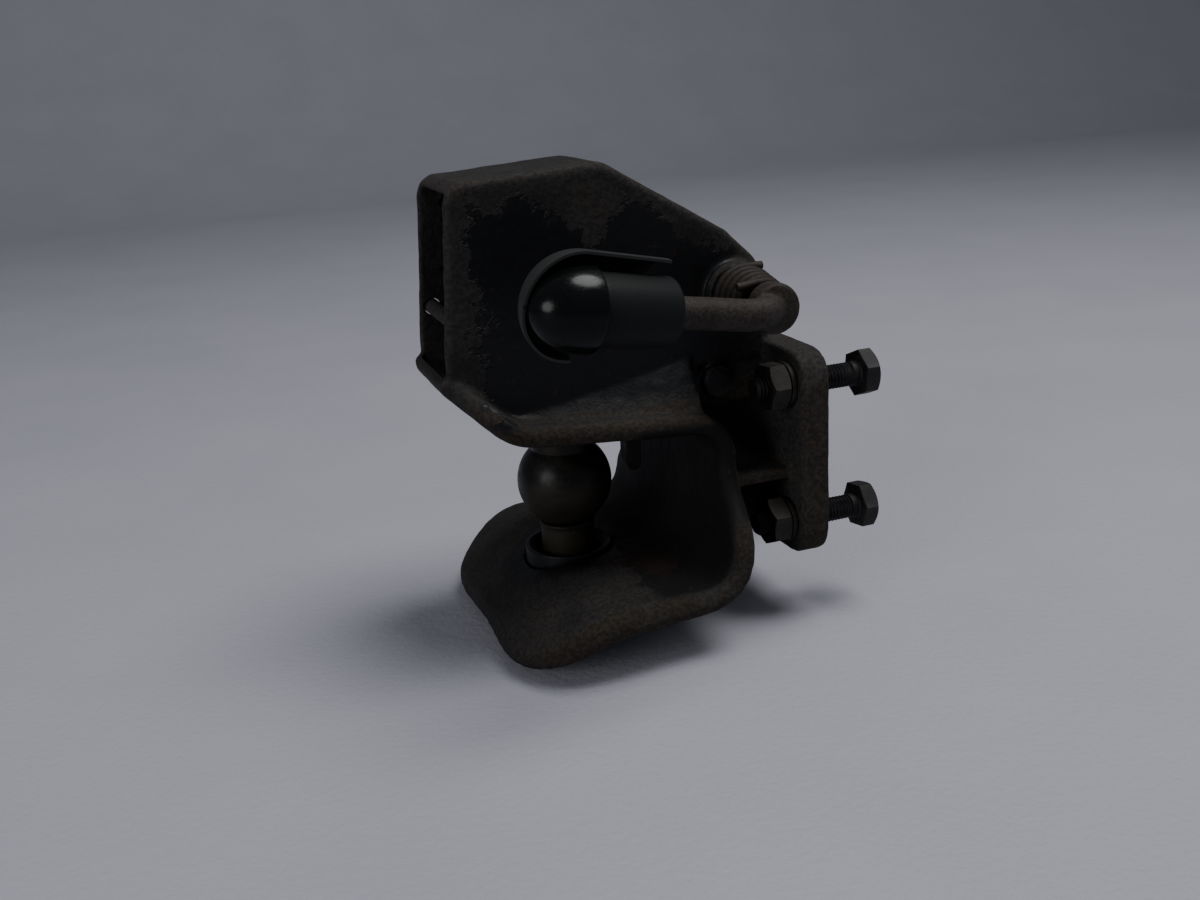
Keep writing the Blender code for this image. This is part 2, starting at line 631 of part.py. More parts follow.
def torsion_spring():
    """Coil round the shaft, one leg against the hood and one over the lever's bend."""
    per_turn = 16
    count = SPRING_TURNS * per_turn
    points = []
    for i in range(count + 1):
        angle = math.radians(90) + 2 * math.pi * i / per_turn
        mean = SPRING_FIRST_MEAN + (SPRING_LAST_MEAN - SPRING_FIRST_MEAN) * i / count
        points.append(Vector((SHAFT_X + mean * math.cos(angle),
                              SPRING_FIRST_Y - SPRING_PITCH * i / per_turn,
                              SHAFT_Z + mean * math.sin(angle))))
    fixed_leg = [points[0] + Vector((8 * MM, 0, 0)), points[0] + Vector((4 * MM, 0, 0))]
    moving_leg = [points[-1] + Vector((-3 * MM, 0, 0)), points[-1] + Vector((-11 * MM, 0, -1 * MM))]
    return round_bar("torsion_spring", fixed_leg + points + moving_leg, SPRING_WIRE)


def pawl_spring():
    points = []
    for i in range(4 * 10 + 1):
        angle = 2 * math.pi * i / 10
        points.append((PAWL_X + 4.6 * MM * math.cos(angle), 6.5 * MM + 1.5 * MM * i / 10,
                       PAWL_Z + 4.6 * MM * math.sin(angle)))
    return round_bar("pawl_spring", points, 0.55 * MM, resolution=1)


# ---------------------------------------------------------------- fasteners

def hexagon(name, x_low, x_high, y, z):
    return cylinder(name, (x_low, y, z), (x_high, y, z), HEX_FLATS / math.sqrt(3), segments=6)


def bolt(index, y, z, tools):
    head = hexagon(f"bolt_{index}", HEAD_STAND_OFF, HEAD_STAND_OFF + HEAD_THICK, y, z)
    end = -PLATE_THICK - WASHER_THICK - NUT_THICK - BOLT_BEYOND_NUT
    shank = cylinder(f"bolt_shank_{index}", (end, y, z), (HEAD_STAND_OFF + 2 * MM, y, z),
                     BOLT_RADIUS - 0.1 * MM)
    combine(head, shank, "UNION", tools)
    return head


def nut(index, y, z, tools):
    face = -PLATE_THICK - WASHER_THICK - 2 * GAP
    made = hexagon(f"nut_{index}", face - NUT_THICK, face, y, z)
    combine(made, cylinder(f"nut_bore_{index}", (face - 20 * MM, y, z), (face + 10 * MM, y, z),
                           BOLT_RADIUS + 0.2 * MM), "DIFFERENCE", tools)
    return made


def main():
    clear_scene()
    parts = collection("trailer_hitch_with_ball")
    tools = collection("cutters")
    iron = material("cast_iron", (0.055, 0.05, 0.045), 0.62, 0.35)
    steel = material("oiled_steel", (0.11, 0.105, 0.1), 0.4, 0.85)
    zinc = material("bolt_steel", (0.17, 0.16, 0.17), 0.45, 0.8)
    plastic = material("black_plastic", (0.012, 0.013, 0.014), 0.18, 0.0)

    main_casting(parts, tools, iron)
    keep(pin_bush(), parts, steel)
    for name, side in (("shaft_bush_near", -1), ("shaft_bush_far", 1)):
        keep(tube(name, (SHAFT_X, side * 18 * MM, SHAFT_Z), (SHAFT_X, side * 28.2 * MM, SHAFT_Z), 8 * MM,
                  SHAFT_RADIUS + GAP, tools), parts, steel)
    keep(torsion_spring(), parts, steel)
    keep(cylinder("pawl_pin", (PAWL_X, BLIND_END_Y, PAWL_Z), (PAWL_X, 30 * MM, PAWL_Z), PAWL_PIN_RADIUS,
                  segments=20), parts, steel)
    for name, low, high in (("pawl_spacer_near", -18.8, -4.9), ("pawl_spacer_far", 14.5, 18.8)):
        keep(tube(name, (PAWL_X, low * MM, PAWL_Z), (PAWL_X, high * MM, PAWL_Z), 3.9 * MM,
                  PAWL_PIN_RADIUS + GAP, tools, segments=20), parts, steel)
    keep(pawl_spring(), parts, steel)
    keep(cylinder("front_pin", (FRONT_PIN_X, BLIND_END_Y, FRONT_PIN_Z), (FRONT_PIN_X, 25 * MM, FRONT_PIN_Z),
                  FRONT_PIN_RADIUS, segments=20), parts, steel)

    keep(hand_lever(tools), parts, steel)
    keep(grip_sleeve(), parts, plastic)
    keep(grip_cap(), parts, plastic)
    keep(grip_shell(tools), parts, plastic)
    keep(swing_arm(tools), parts, iron)
    keep(ball_pin(tools), parts, steel)
    latch = along_arm(LATCH_REACH)
    key_half = HUB_RADIUS - 0.5 * MM
    keep(cylinder("latch_pin", (latch[0], -14.2 * MM, latch[1]), (latch[0], 14.2 * MM, latch[1]),
                  LATCH_PIN_RADIUS, segments=20), parts, steel)
    keep(cylinder("arm_key_pin", (SHAFT_X, 0, SHAFT_Z - key_half), (SHAFT_X, 0, SHAFT_Z + key_half),
                  2.5 * MM, segments=20), parts, steel)
    keep(cylinder("ball_cross_pin", (PIN_X, -15.2 * MM, CROSS_PIN_Z), (PIN_X, 15.2 * MM, CROSS_PIN_Z),
                  CROSS_PIN_RADIUS, segments=20), parts, steel)
    keep(tube("lever_washer", (SHAFT_X, 28.6 * MM, SHAFT_Z), (SHAFT_X, 30.6 * MM, SHAFT_Z), 11 * MM,
              SHAFT_RADIUS + GAP, tools), parts, steel)
    keep(cylinder("lever_split_pin", (SHAFT_X, 33.5 * MM, SHAFT_Z - 9.5 * MM),
                  (SHAFT_X, 33.5 * MM, SHAFT_Z + 9.5 * MM), 1.25 * MM, segments=12), parts, steel)
    keep(release_pawl(tools), parts, steel)

    for i, (sy, sz) in enumerate(((-1, 1), (1, 1), (-1, -1), (1, -1)), 1):
        y, z = sy * BOLT_Y, sz * BOLT_Z
        keep(bolt(i, y, z, tools), parts, zinc)
        keep(nut(i, y, z, tools), parts, zinc)
        keep(tube(f"washer_{i}", (-PLATE_THICK - GAP - WASHER_THICK, y, z), (-PLATE_THICK - GAP, y, z),
                  WASHER_RADIUS, BOLT_RADIUS + GAP, tools), parts, zinc)


main()
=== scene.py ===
"""Looks of the automatic trailer coupling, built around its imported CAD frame.

Frame: +X points to the vehicle, the mouth opens to -X, +Z is up. Sizes are in metres.
"""
import math

import bmesh
import bpy
from mathutils import Matrix, Vector, noise


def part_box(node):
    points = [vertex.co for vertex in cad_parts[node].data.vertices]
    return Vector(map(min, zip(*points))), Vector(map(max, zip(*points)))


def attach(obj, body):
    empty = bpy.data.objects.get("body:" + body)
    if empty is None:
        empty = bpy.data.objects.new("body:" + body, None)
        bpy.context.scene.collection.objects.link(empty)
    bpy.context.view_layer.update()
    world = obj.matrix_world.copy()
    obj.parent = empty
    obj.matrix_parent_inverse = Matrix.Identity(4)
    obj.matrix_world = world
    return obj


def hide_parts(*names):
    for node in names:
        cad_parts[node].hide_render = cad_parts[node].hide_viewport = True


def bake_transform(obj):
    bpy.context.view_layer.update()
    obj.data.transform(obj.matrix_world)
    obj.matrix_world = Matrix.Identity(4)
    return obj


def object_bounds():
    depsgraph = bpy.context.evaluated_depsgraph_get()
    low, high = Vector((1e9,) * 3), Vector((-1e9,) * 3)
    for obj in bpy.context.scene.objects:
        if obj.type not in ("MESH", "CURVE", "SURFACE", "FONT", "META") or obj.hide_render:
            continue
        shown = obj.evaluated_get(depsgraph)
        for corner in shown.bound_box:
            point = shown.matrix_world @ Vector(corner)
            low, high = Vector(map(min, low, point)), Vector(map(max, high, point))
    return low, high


MM = 0.001

# sizes shared with the CAD model
BOLT_RADIUS = 4.9 * MM
BOLT_PITCH = 1.5 * MM
THREAD_DEPTH = 0.75 * MM
HEX_FLATS = 17 * MM
HEX_INNER = HEX_FLATS / 2 * 0.97   # radius of the flat inside the chamfer
HEAD_THICK = 6.4 * MM
WASHER_RADIUS = 9 * MM
BALL_Z = -10 * MM
BALL_RADIUS = 19.25 * MM
BALL_CUT = 17 * MM                 # from the ball's centre down to its flat
NECK_RADIUS = 13 * MM
NECK_TOP_Z = 13.7 * MM
SHANK_RADIUS = 9 * MM
TIP_RADIUS = 11 * MM
TIP_TAPER_Z = -40 * MM
TIP_END_RADIUS = 6.5 * MM
BUSH_OUTER = 18 * MM
BUSH_INNER = 13.4 * MM
BUSH_COUNTERSINK = 3.1 * MM
SHAFT_RADIUS = 6 * MM
LEVER_BEND = 14 * MM
LEVER_BEND_Y = -49 * MM
LEVER_RISE = math.radians(10.3)
LEVER_SPLAY = math.radians(8)
LEVER_END_X = -112.4 * MM
COLLAR_RADIUS = 9.6 * MM
COLLAR_START = 50.8 * MM           # distances from the middle plane, along the shaft
COLLAR_END = 59 * MM
GRIP_GAP = 0.3 * MM
CAP_RADIUS = 15.35 * MM            # 0.05 under the CAD model's, to stay inside its box
CAP_LENGTH = 21 * MM
CAP_LIP = 1.2 * MM
CAP_SEAM_X = -104 * MM
SLEEVE_FRONT_RADIUS = 13.4 * MM
SLEEVE_REAR_RADIUS = 12.4 * MM
SLEEVE_REAR_X = -72 * MM
SHELL_RADIUS = 19.8 * MM
SHELL_REAR_RADIUS = 18.4 * MM
SHELL_WALL = 1 * MM
SHELL_CENTRE_X = -106.4 * MM
SHELL_REAR_X = -75 * MM
SHELL_TILT = math.radians(11)
SHELL_FOOT = 5 * MM
SPRING_WIRE = 1.6 * MM
SPRING_FIRST_MEAN = 11.6 * MM
SPRING_LAST_MEAN = 8.6 * MM
SPRING_TURNS = 5
SPRING_FIRST_Y = -31 * MM
SPRING_PITCH = 3.4 * MM

# where the wear and the painted shade on the casting change, in metres as the material nodes read them
HOOD_FRONT_X = -0.138
CREASE_X = -0.082
CREASE_TOP_Z = 0.097
MOUTH_BACK_X = -0.058
JAW_FLOOR_Z = -0.030
PLATE_FACE_X = -0.0135
RUST_PATCH_X = -0.069
RUST_PATCH_Y = -0.028

# counts of steps round and along the fine meshes
ROUND = 96
SHELL_AROUND = 48
SHELL_STRAIGHT = 20
SHELL_ALONG = 44

# camera
CAMERA_AZIMUTH = math.radians(-19.3)
CAMERA_ELEVATION = math.radians(18.3)
CAMERA_ROLL = math.radians(-3.4)
CAMERA_DISTANCE = 0.497
CAMERA_AIM = Vector((-0.0762, 0.0, -0.0005))
CAMERA_LENS = 36.3               # mm, on a 36 mm wide sensor

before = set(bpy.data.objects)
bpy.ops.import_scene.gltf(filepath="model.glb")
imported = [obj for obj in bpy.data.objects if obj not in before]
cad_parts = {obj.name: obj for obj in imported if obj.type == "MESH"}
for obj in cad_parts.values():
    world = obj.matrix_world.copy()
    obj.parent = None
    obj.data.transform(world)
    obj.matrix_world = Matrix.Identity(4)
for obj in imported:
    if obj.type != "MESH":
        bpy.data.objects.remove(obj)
cad_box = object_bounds()

shaft_low, shaft_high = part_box("shaft_bush_near")
SHAFT_X = (shaft_low.x + shaft_high.x) / 2
SHAFT_Z = (shaft_low.z + shaft_high.z) / 2
pin_low, pin_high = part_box("ball_pin")
PIN_X = (pin_low.x + pin_high.x) / 2


# ---------------------------------------------------------------- material graphs

class Graph:
    """A material's node tree, with short calls for the nodes used here."""

    def __init__(self, name, metallic=0.0, specular=0.5):
        self.material = bpy.data.materials.new(name)
        self.material.use_nodes = True
        self.tree = self.material.node_tree
        self.shader = self.tree.nodes["Principled BSDF"]
        self.shader.inputs["Metallic"].default_value = metallic
        self.shader.inputs["Specular IOR Level"].default_value = specular
        coordinates = self.add("ShaderNodeTexCoord")
        self.place = coordinates.outputs["Object"]
        self.normal = coordinates.outputs["Normal"]
        self.x, self.y, self.z = self.split(self.place)
        self.nx, self.ny, self.nz = self.split(self.normal)

    def add(self, kind, values=None, **settings):
        node = self.tree.nodes.new(kind)
        for key, value in settings.items():
            setattr(node, key, value)
        for key, value in (values or {}).items():
            self.feed(node.inputs[key], value)
        return node

    def feed(self, socket, value):
        if isinstance(value, bpy.types.NodeSocket):
            self.tree.links.new(value, socket)
        else:
            socket.default_value = value

    def split(self, vector):
        return self.add("ShaderNodeSeparateXYZ", {0: vector}).outputs

    def off_centre(self, value):
        """A noise value moved to vary round zero."""
        return self.math("SUBTRACT", value, 0.5)

    def distance(self, value, place):
        return self.math("ABSOLUTE", self.math("SUBTRACT", value, place))

    def product(self, first, *others):
        for other in others:
            first = self.math("MULTIPLY", first, other)
        return first

    def noise(self, scale, detail=4.0, roughness=0.55, stretch=(1, 1, 1)):
        mapping = self.add("ShaderNodeMapping", {"Vector": self.place, "Scale": stretch})
        values = {"Vector": mapping.outputs[0], "Scale": scale, "Detail": detail, "Roughness": roughness}
        return self.add("ShaderNodeTexNoise", values).outputs["Fac"]

    def math(self, operation, a, b=0.0, clamp=False):
        return self.add("ShaderNodeMath", {0: a, 1: b}, operation=operation, use_clamp=clamp).outputs[0]

    def total(self, *terms):
        """Sum of (value, weight) pairs."""
        result = 0.0
        for value, weight in terms:
            result = self.math("ADD", result, self.math("MULTIPLY", value, weight))
        return result

    def ramp(self, value, low, high):
        """0 below low and 1 above high, eased; the other way round if low is above high."""
        return self.add("ShaderNodeMapRange", {"Value": value, "From Min": low, "From Max": high},
                        interpolation_type="SMOOTHSTEP").outputs["Result"]

    def blend(self, share, a, b):
        colours = [(*c, 1.0) if isinstance(c, tuple) else c for c in (a, b)]
        values = {0: share, 6: colours[0], 7: colours[1]}
        return self.add("ShaderNodeMix", values, data_type="RGBA").outputs[2]

    def edges(self, low=0.5, high=0.56):
        """1 on outer edges and 0 on flats."""
        return self.ramp(self.add("ShaderNodeNewGeometry").outputs["Pointiness"], low, high)

    def surface(self, colour, roughness, heights, distance):
        """Connects colour and roughness, and bump from (height, weight) pairs."""
        self.feed(self.shader.inputs["Base Color"], colour)
        self.feed(self.shader.inputs["Roughness"], roughness)
        values = {"Height": self.total(*heights), "Distance": distance, "Strength": 1.0}
        bump = self.add("ShaderNodeBump", values)
        self.tree.links.new(bump.outputs[0], self.shader.inputs["Normal"])
        return self.material


# the oily dark of the cheeks, used also as painted shade in the mouth and round the pin's foot
OIL_AND_SHADE_DARK = (0.0050, 0.0054, 0.0068)
IRON = (0.0105, 0.0096, 0.0095)
DUST = (0.043, 0.039, 0.036)
BROWN = (0.034, 0.027, 0.0205)
RUST = (0.040, 0.020, 0.012)
BLACK = (0.003, 0.003, 0.003)


def cheek_oil(g, clouds, patches, pits):
    """Oily middle of each cheek, inside its dusty front, top and crease edges."""
    from_front = g.total((g.math("SUBTRACT", g.x, HOOD_FRONT_X), 1 / 0.0105))
    flat_top = g.math("SUBTRACT", g.total((g.x, 0.056), (1.0, 0.1205)), g.z)
    slope_top = g.math("SUBTRACT", g.total((g.x, -0.6), (1.0, 0.0708)), g.z)
    from_top = g.math("MULTIPLY", g.math("MINIMUM", flat_top, slope_top), 1 / 0.0095)
    crease = g.total((g.distance(g.x, CREASE_X), 1 / 0.011),
                     (g.math("SUBTRACT", CREASE_TOP_Z, g.z), 1 / 0.012))
    inside = g.math("MINIMUM", g.math("MINIMUM", from_front, from_top), g.math("MAXIMUM", crease, 0.0))
    ragged = g.total((inside, 1.0), (g.off_centre(patches), 2.4), (g.off_centre(pits), 2.2),
                     (g.off_centre(clouds), 1.2))
    facing = g.ramp(g.math("ABSOLUTE", g.ny), 0.25, 0.5)
    return g.product(g.ramp(ragged, 0.85, 1.15), facing, g.ramp(g.z, 0.022, 0.030),
                     g.ramp(g.x, -0.022, -0.030))


def mouth_grease_and_shade(g, patches):
    """Greasy back of the mouth behind the pin, darkened further as painted shade under the roof."""
    deep = g.total((g.ramp(g.x, -0.100, MOUTH_BACK_X), 1.0), (g.off_centre(patches), 1.1))
    below_roof = g.ramp(g.z, 0.022, 0.012)
    off_plate = g.ramp(g.x, -0.034, -0.040)
    between_rims = g.ramp(g.math("ABSOLUTE", g.y), 0.066, 0.050)
    return g.product(g.ramp(deep, 0.45, 0.85), below_roof, off_plate, between_rims)


def pin_foot_grease_and_shade(g, patches):
    """Painted shade under the ball, with grease, on the jaw round the pin's foot."""
    off_pin = g.math("SUBTRACT", g.x, PIN_X)
    squares = g.total((g.math("MULTIPLY", off_pin, off_pin), 1.0), (g.math("MULTIPLY", g.y, g.y), 1.0))
    reach = g.total((g.math("SQRT", squares), 1.0), (patches, 0.012))
    return g.product(g.ramp(reach, 0.036, 0.024), g.ramp(g.z, JAW_FLOOR_Z + 0.010, JAW_FLOOR_Z))


def jaw_rust(g, patches):
    """One rust-brown patch on the jaw's floor, beside the pin."""
    reach = g.total((g.distance(g.x, RUST_PATCH_X), 0.8), (g.distance(g.y, RUST_PATCH_Y), 0.7),
                    (patches, 0.02))
    on_floor = g.ramp(g.z, JAW_FLOOR_Z, JAW_FLOOR_Z - 0.006)
    return g.product(g.ramp(reach, 0.028, 0.016), on_floor, g.ramp(g.nz, 0.5, 0.9))


def cast_iron():
    """Dark paint over rough casting: oily on cheeks and in the mouth, dusty and brown on rims; painted shade
    darkens the back of the mouth and the jaw round the pin's foot, and dust on the edges carries a painted
    highlight.
    """
    g = Graph("cast_iron_worn", metallic=0.2, specular=0.22)
    clouds = g.noise(26, 5)
    patches = g.noise(75, 6, 0.6)
    grain = g.noise(620, 5, 0.7)
    pits = g.noise(230, 4, 0.6)

    mouth = mouth_grease_and_shade(g, patches)
    # this mask joins the oily cheeks with painted shade at the back of the mouth and round the pin's foot
    oil_and_shade = g.math("MAXIMUM", cheek_oil(g, clouds, patches, pits), mouth)
    oil_and_shade = g.math("MAXIMUM", oil_and_shade, pin_foot_grease_and_shade(g, patches))
    rim = g.product(g.ramp(g.math("ABSOLUTE", g.ny), 0.15, 0.6), g.ramp(g.z, 0.040, 0.022))
    plate = g.ramp(g.x, PLATE_FACE_X, PLATE_FACE_X + 0.001)
    # edges lighten with dust and a painted highlight along them
    edge = g.edges(0.505, 0.56)
    dusty = g.total((clouds, 0.9), (patches, 0.6), (g.nz, 0.16), (edge, 0.8), (rim, 0.40), (plate, 0.35),
                    (oil_and_shade, -1.15))
    dust = g.ramp(dusty, 0.50, 1.30)
    warm = g.ramp(g.total((patches, 1.0), (clouds, 0.5), (rim, 0.25)), 0.72, 1.05)

    base = g.blend(oil_and_shade, IRON, OIL_AND_SHADE_DARK)
    # painted shade: the back of the mouth under the roof goes to black
    base = g.blend(mouth, base, BLACK)
    colour = g.blend(dust, base, g.blend(warm, DUST, BROWN))
    colour = g.blend(g.product(g.ramp(pits, 0.62, 0.74), 0.55), colour, RUST)
    colour = g.blend(g.product(jaw_rust(g, patches), 0.45), colour, RUST)
    colour = g.blend(g.product(g.ramp(grain, 0.60, 0.40), 0.55), colour, BLACK)
    rough = g.total((dust, 0.34), (grain, 0.16), (oil_and_shade, -0.16), (mouth, 0.30), (1.0, 0.50))
    calm = g.total((oil_and_shade, -0.7), (1.0, 1.0))
    skin = g.product(g.total((grain, 0.7), (pits, 1.0)), calm)
    return g.surface(colour, rough, ((skin, 1.0), (g.product(patches, calm), 0.4)), 0.0005)


def greasy_steel(name, dark, light, base_rough, film_below=None):
    """Turned steel with a film of old grease and dust, thicker below a height where one is given."""
    g = Graph(name, metallic=0.5, specular=0.3)
    smears = g.noise(60, 5, 0.6, (1, 1, 2.5))
    specks = g.noise(520, 4, 0.65)
    terms = [(smears, 1.0), (specks, 0.35)]
    if film_below is not None:
        terms.append((g.ramp(g.z, film_below + 5 * MM, film_below - 5 * MM), 0.22))
    film = g.ramp(g.total(*terms), 0.55, 0.95)
    colour = g.blend(film, dark, light)
    colour = g.blend(g.ramp(specks, 0.66, 0.74), colour, BROWN)
    rough = g.total((film, 0.28), (specks, 0.12), (1.0, base_rough))
    return g.surface(colour, rough, ((specks, 1.0), (smears, 0.6)), 0.00008)


def rusty_bar(name, dusty, brown, grain_height):
    """Forged bar or wire, dull with brown dust and light rust."""
    g = Graph(name, metallic=0.2, specular=0.25)
    patches = g.noise(110, 6, 0.65)
    grain = g.noise(900, 5, 0.7)
    colour = g.blend(g.ramp(patches, 0.42, 0.66), dusty, brown)
    colour = g.blend(g.product(g.ramp(grain, 0.58, 0.38), 0.6), colour, BLACK)
    colour = g.blend(g.product(g.edges(0.53, 0.62), 0.3), colour, (0.055, 0.047, 0.040))
    rough = g.total((grain, 0.2), (1.0, 0.55))
    return g.surface(colour, rough, ((grain, 1.0), (patches, 0.8)), grain_height)


def dull_zinc(name, dark, light):
    """Dull plated steel; the threads and ends beyond the nuts go near black as grease with painted shade, and
    so do faces turned to -X.
    """
    g = Graph(name, metallic=0.5, specular=0.3)
    patches = g.noise(140, 5, 0.6)
    grain = g.noise(1100, 4, 0.65)
    colour = g.blend(g.ramp(patches, 0.40, 0.68), dark, light)
    colour = g.blend(g.product(g.ramp(grain, 0.60, 0.45), 0.45), colour, BLACK)
    colour = g.blend(g.product(g.edges(0.53, 0.66), 0.3), colour, (0.085, 0.078, 0.074))
    # painted shade on the end faces turned to -X and on the ends beyond the nuts
    end_face_shade = g.product(g.ramp(g.nx, -0.6, -0.85), g.ramp(g.x, -0.015, -0.020))
    beyond_nut = g.ramp(g.x, -0.0222, -0.0228)
    black = g.math("MAXIMUM", end_face_shade, beyond_nut)
    colour = g.blend(g.product(black, 0.85), colour, BLACK)
    rough = g.total((patches, 0.2), (grain, 0.15), (1.0, 0.42))
    return g.surface(colour, rough, ((grain, 1.0), (patches, 0.5)), 0.00008)


def moulded_plastic(name, base_rough, dusty, specular, dark):
    """Black moulding, glossy or worn, with faint scuffs and a thin veil of dust on top."""
    g = Graph(name, metallic=0.0, specular=specular)
    scuffs = g.noise(300, 5, 0.7, (1, 6, 6))
    veil = g.noise(40, 5, 0.6)
    settled = g.product(g.ramp(g.nz, -0.2, 0.9), g.ramp(veil, 0.42, 0.72))
    colour = g.blend(g.product(settled, dusty), dark, (0.020, 0.021, 0.020))
    rough = g.total((g.ramp(scuffs, 0.48, 0.75), 0.22), (settled, 0.22 * dusty), (1.0, base_rough))
    return g.surface(colour, rough, ((scuffs, 1.0), (veil, 1.0)), 0.000012)


# ---------------------------------------------------------------- mesh tools

def add_object(name, mesh):
    made = bpy.data.objects.new(name, mesh)
    bpy.context.scene.collection.objects.link(made)
    return made


def smooth(made, angle=38):
    made.data.shade_smooth()
    made.data.set_sharp_from_angle(angle=math.radians(angle))
    return made


def ring_stack(name, rings, segments, matrix, closed=False):
    """Joins rings round local Z. A ring is (radius, height), or a function of the angle giving both."""
    shape = bmesh.new()
    loops = []
    for ring in rings:
        loop = []
        for i in range(segments):
            angle = 2 * math.pi * i / segments
            radius, height = ring(angle) if callable(ring) else ring
            loop.append(shape.verts.new((radius * math.cos(angle), radius * math.sin(angle), height)))
        loops.append(loop)
    pairs = list(zip(loops, loops[1:])) + ([(loops[-1], loops[0])] if closed else [])
    for a, b in pairs:
        for i in range(segments):
            j = (i + 1) % segments
            shape.faces.new((a[i], a[j], b[j], b[i]))
    bmesh.ops.remove_doubles(shape, verts=shape.verts, dist=0.000002)
    bmesh.ops.dissolve_degenerate(shape, edges=shape.edges, dist=0.0000005)
    bmesh.ops.recalc_face_normals(shape, faces=shape.faces)
    bmesh.ops.transform(shape, matrix=matrix, verts=shape.verts)
    mesh = bpy.data.meshes.new(name)
    shape.to_mesh(mesh)
    shape.free()
    return smooth(add_object(name, mesh))


def rounded(points, radius, steps=4):
    """A profile with each inner corner rounded, as far as its edges allow."""
    points = [Vector(p) for p in points]
    made = [points[0]]
    for a, corner, b in zip(points, points[1:], points[2:]):
        cut = min(radius, (a - corner).length * 0.45, (b - corner).length * 0.45)
        start = corner + (a - corner).normalized() * cut
        end = corner + (b - corner).normalized() * cut
        for i in range(steps + 1):
            t = i / steps
            made.append(start * (1 - t) ** 2 + corner * 2 * t * (1 - t) + end * t * t)
    return [tuple(p) for p in made + [points[-1]]]


def tube(name, points, radius, resolution):
    """A closed round bar along a smooth list of points."""
    curve = bpy.data.curves.new(name + "_line", "CURVE")
    curve.dimensions = "3D"
    curve.bevel_depth = radius
    curve.bevel_resolution = resolution
    curve.use_fill_caps = True
    line = curve.splines.new("POLY")
    line.points.add(len(points) - 1)
    for point, place in zip(line.points, points):
        point.co = (*place, 1)
    guide = add_object(name + "_line", curve)
    bpy.context.view_layer.update()
    mesh = bpy.data.meshes.new_from_object(guide.evaluated_get(bpy.context.evaluated_depsgraph_get()))
    bpy.data.objects.remove(guide, do_unlink=True)
    shape = bmesh.new()
    shape.from_mesh(mesh)
    bmesh.ops.remove_doubles(shape, verts=shape.verts, dist=0.000005)
    shape.to_mesh(mesh)
    shape.free()
    mesh.name = name
    return smooth(add_object(name, mesh))


def joined(name, objects):
    """One mesh from several objects, which are removed."""
    shape = bmesh.new()
    for thing in objects:
        part = thing.data.copy()
        part.transform(thing.matrix_world)
        shape.from_mesh(part)
        bpy.data.meshes.remove(part)
        bpy.data.objects.remove(thing, do_unlink=True)
    mesh = bpy.data.meshes.new(name)
    shape.to_mesh(mesh)
    shape.free()
    return add_object(name, mesh)


def copy_of_node(name, node):
    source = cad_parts[node]
    made = add_object(name, source.data.copy())
    made.matrix_world = source.matrix_world.copy()
    made.data.materials.clear()
    return made


def recast(made, voxel, rounds, coarse=0.0):
    """Voxel remesh with softened edges and an uneven skin, as a casting or forging has."""
    remesh = made.modifiers.new("voxels", "REMESH")
    remesh.mode = "VOXEL"
    remesh.voxel_size = voxel
    soften = made.modifiers.new("soften", "SMOOTH")
    soften.factor = 0.5
    soften.iterations = rounds
    bpy.context.view_layer.update()
    mesh = bpy.data.meshes.new_from_object(made.evaluated_get(bpy.context.evaluated_depsgraph_get()))
    made.modifiers.clear()
    made.data = mesh
    mesh.name = made.name
    if coarse:
        moves = []
        for vertex in mesh.vertices:
            wave = noise.noise(vertex.co * 70) * 0.6 + noise.noise(vertex.co * 210) * 0.4
            moves.append(vertex.normal * (wave - 0.4) * coarse)
        for vertex, move in zip(mesh.vertices, moves):
            vertex.co += move
    mesh.shade_smooth()
    return made


def finish_piece(made, material, body, slot, *nodes):
    made.data.materials.clear()
    made.data.materials.append(material)
    if body:
        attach(made, body)
    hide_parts(*nodes)
    return made


# ---------------------------------------------------------------- pieces

def casting(iron):
    made = recast(copy_of_node("casting", "main_casting"), 1.0 * MM, 7, coarse=0.3 * MM)
    finish_piece(made, iron, "hitch_body", "cast_iron", "main_casting")


def arm_and_pawl(iron, steel):
    arm = recast(copy_of_node("arm", "swing_arm"), 0.8 * MM, 5, coarse=0.3 * MM)
    finish_piece(arm, iron, "lever_arm", "cast_iron", "swing_arm")
    pawl = recast(copy_of_node("pawl", "release_pawl"), 0.5 * MM, 4)
    finish_piece(pawl, steel, "pawl", "steel", "release_pawl")


def coupling_pin(steel):
    """Shank, neck, crowned ball and tapered tip, finely turned."""
    first = math.acos(NECK_RADIUS / BALL_RADIUS)
    last = -math.asin(BALL_CUT / BALL_RADIUS)
    neck_foot = BALL_Z + BALL_RADIUS * math.sin(first)
    upper = rounded([(0, pin_high.z), (SHANK_RADIUS, pin_high.z), (SHANK_RADIUS, NECK_TOP_Z),
                     (NECK_RADIUS, NECK_TOP_Z), (NECK_RADIUS, neck_foot)], 1.0 * MM)
    ball = []
    for i in range(41):
        angle = first + (last - first) * i / 40
        ball.append((BALL_RADIUS * math.cos(angle), BALL_Z + BALL_RADIUS * math.sin(angle)))
    foot = BALL_Z - BALL_CUT
    lower = rounded([ball[-1], (TIP_RADIUS + 0.6 * MM, foot), (TIP_RADIUS, foot - 2 * MM),
                     (TIP_RADIUS, TIP_TAPER_Z), (TIP_END_RADIUS, pin_low.z), (0, pin_low.z)], 0.8 * MM)
    made = ring_stack("coupling_pin", upper[:-1] + ball + lower[1:], ROUND, Matrix.Translation((PIN_X, 0, 0)))
    finish_piece(made, steel, "lever_arm", "steel", "ball_pin")


